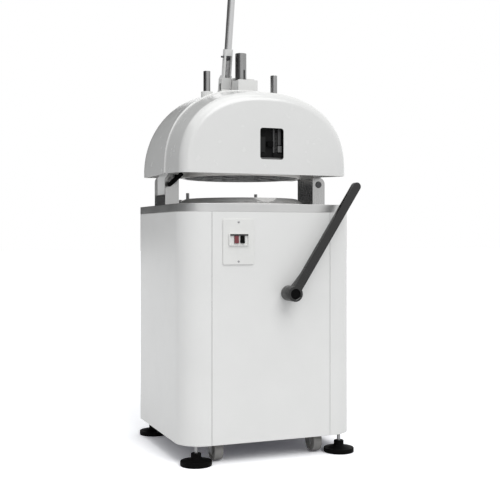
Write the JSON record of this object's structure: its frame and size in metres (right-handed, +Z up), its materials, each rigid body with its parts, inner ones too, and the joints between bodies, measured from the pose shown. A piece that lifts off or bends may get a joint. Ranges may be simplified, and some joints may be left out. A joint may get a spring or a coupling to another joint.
{
  "type": "dough divider rounder",
  "caption": "Floor-standing bakery machine: a domed head on posts presses and divides dough on a round plate, and the plate then circles to round it; levers work the press and the table.",
  "frame": {"origin": "on the floor, under the middle of the machine's outline", "axes": "+Z up, -Y towards the side with the switch and the rounding lever, +X to that side's right"},
  "size_m": [0.66, 0.684, 2.0194],
  "materials": {
    "white_paint": "smooth enamel",
    "stainless": "brushed",
    "bright_steel": "polished",
    "dark_steel": "machined",
    "cast_grey": "as cast",
    "black_metal": "black enamel",
    "black_plastic": "matte",
    "black_rubber": "matte",
    "wheel_rubber": "matte",
    "ring_alloy": "satin",
    "white_plastic": "satin",
    "red_plastic": "gloss",
    "motor_blue": "enamel"
  },
  "bodies": {
    "base": {"base_plate": "dark_steel", "corner_posts": "dark_steel", "left_side_panel": "white_paint", "right_side_panel": "white_paint", "front_panel": "white_paint", "back_panel": "white_paint", "worktop": "stainless", "foot_pads": "black_plastic", "foot_stems": "bright_steel", "caster_forks": "dark_steel", "caster_axles": "bright_steel", "left_post": "stainless", "right_post": "stainless", "hinge_pin": "dark_steel", "clamp_stud": "dark_steel", "bearing_bridge": "dark_steel", "guide_housing": "cast_grey", "motor": "motor_blue", "drive_belt": "black_rubber", "shaft_bearings": "dark_steel", "switch_plate": "white_paint", "switch_screws": "bright_steel", "switch_frame": "stainless", "cable_gland": "black_plastic"},
    "wheel_front_left": {"caster_wheel_front_left": "wheel_rubber"},
    "wheel_front_right": {"caster_wheel_front_right": "wheel_rubber"},
    "wheel_rear_left": {"caster_wheel_rear_left": "wheel_rubber"},
    "wheel_rear_right": {"caster_wheel_rear_right": "wheel_rubber"},
    "clamp": {"clamp_lever": "black_plastic"},
    "head": {"head_plate": "cast_grey", "front_cover": "white_paint", "rear_cover": "white_paint", "guide_sleeves": "white_paint", "gear_housing": "white_paint", "portion_scale": "black_metal"},
    "slider": {"portion_slider": "black_plastic"},
    "press": {"ram": "bright_steel", "guide_rods": "bright_steel", "crosshead": "ring_alloy", "press_ring": "ring_alloy", "divider_knives": "stainless"},
    "segments": {"press_segments": "white_plastic"},
    "press_lever": {"pinion_shaft": "dark_steel", "lever_head": "white_paint", "lever_tube": "bright_steel", "lever_grip": "black_rubber", "latch_spring": "bright_steel"},
    "latch": {"latch_plunger": "dark_steel"},
    "lift": {"lift_sleeve": "dark_steel"},
    "crank": {"crankshaft": "dark_steel", "drive_pulley": "cast_grey"},
    "idler_left": {"idler_crank_left": "dark_steel"},
    "idler_right": {"idler_crank_right": "dark_steel"},
    "table": {"rounding_table": "ring_alloy", "plate_pins": "dark_steel"},
    "lever": {"rounding_lever": "black_metal", "lever_shaft": "bright_steel"},
    "rotor": {"motor_pulley": "dark_steel"},
    "start": {"start_button": "black_plastic"},
    "stop": {"stop_button": "red_plastic"}
  },
  "joints": [
    {"name": "wheel_front_left_roll", "type": "hinge", "parent": "base", "child": "wheel_front_left", "pos_m": [-0.19, -0.209, 0.043], "axis": [1, 0, 0], "continuous": true},
    {"name": "wheel_rear_left_roll", "type": "hinge", "parent": "base", "child": "wheel_rear_left", "pos_m": [-0.19, 0.249, 0.043], "axis": [1, 0, 0], "continuous": true},
    {"name": "wheel_front_right_roll", "type": "hinge", "parent": "base", "child": "wheel_front_right", "pos_m": [0.19, -0.209, 0.043], "axis": [1, 0, 0], "continuous": true},
    {"name": "wheel_rear_right_roll", "type": "hinge", "parent": "base", "child": "wheel_rear_right", "pos_m": [0.19, 0.249, 0.043], "axis": [1, 0, 0], "continuous": true},
    {"name": "head_tilt", "type": "hinge", "parent": "base", "child": "head", "pos_m": [0.295, 0.0335, 0.985], "axis": [0, 1, 0], "range_deg": [0, 75]},
    {"name": "clamp_turn", "type": "hinge", "parent": "base", "child": "clamp", "pos_m": [-0.295, -0.05, 0.988], "axis": [0, 1, 0], "range_deg": [0, 75]},
    {"name": "slider_set", "type": "slide", "parent": "head", "child": "slider", "axis": [0, 0, 1], "range_m": [-0.03, 0.03]},
    {"name": "ram_press", "type": "slide", "parent": "head", "child": "press", "axis": [0, 0, -1], "range_m": [0, 0.053], "stiffness_N_per_m": 4000, "springref_m": -0.22},
    {"name": "segment_rise", "type": "slide", "parent": "press", "child": "segments", "axis": [0, 0, 1], "range_m": [0, 0.027]},
    {"name": "press_lever_swing", "type": "hinge", "parent": "head", "child": "press_lever", "pos_m": [-0.04, 0.102, 1.33], "axis": [1, 0, 0], "range_deg": [0, 61]},
    {"name": "latch_press", "type": "slide", "parent": "press_lever", "child": "latch", "axis": [0, 0.1908, -0.9816], "range_m": [0, 0.008], "stiffness_N_per_m": 500, "springref_m": -0.006, "deforming": ["latch_spring"]},
    {"name": "table_lift", "type": "slide", "parent": "base", "child": "lift", "axis": [0, 0, 1], "range_m": [0, 0.01]},
    {"name": "rounding_lever_swing", "type": "hinge", "parent": "base", "child": "lever", "pos_m": [0.059, -0.3, 0.585], "axis": [0, -1, 0], "range_deg": [0, 61]},
    {"name": "crank_spin", "type": "hinge", "parent": "lift", "child": "crank", "pos_m": [-0.008, 0.036, 0.7], "axis": [0, 0, 1], "continuous": true},
    {"name": "idler_left_spin", "type": "hinge", "parent": "lift", "child": "idler_left", "pos_m": [-0.128, 0.036, 0.83], "axis": [0, 0, 1], "continuous": true},
    {"name": "idler_right_spin", "type": "hinge", "parent": "lift", "child": "idler_right", "pos_m": [0.112, 0.036, 0.83], "axis": [0, 0, 1], "continuous": true},
    {"name": "table_pin_turn", "type": "hinge", "parent": "crank", "child": "table", "pos_m": [0, 0.036, 0.89], "axis": [0, 0, 1], "continuous": true},
    {"name": "motor_spin", "type": "hinge", "parent": "base", "child": "rotor", "pos_m": [-0.2, 0.096, 0.6], "axis": [0, 0, 1], "continuous": true},
    {"name": "start_press", "type": "slide", "parent": "base", "child": "start", "axis": [0, 1, 0], "range_m": [0, 0.003], "stiffness_N_per_m": 400, "springref_m": -0.004},
    {"name": "stop_press", "type": "slide", "parent": "base", "child": "stop", "axis": [0, 1, 0], "range_m": [0, 0.003], "stiffness_N_per_m": 400, "springref_m": -0.004}
  ],
  "couplings": [
    {"joint": "press_lever_swing", "follows": "ram_press", "rad_per_m": 20},
    {"joint": "segment_rise", "follows": "ram_press", "ratio": 0.5},
    {"joint": "rounding_lever_swing", "follows": "table_lift", "rad_per_m": 105},
    {"joint": "table_pin_turn", "follows": "crank_spin", "ratio": -1},
    {"joint": "idler_left_spin", "follows": "crank_spin", "ratio": 1},
    {"joint": "idler_right_spin", "follows": "crank_spin", "ratio": 1},
    {"joint": "motor_spin", "follows": "crank_spin", "ratio": 2.5}
  ]
}
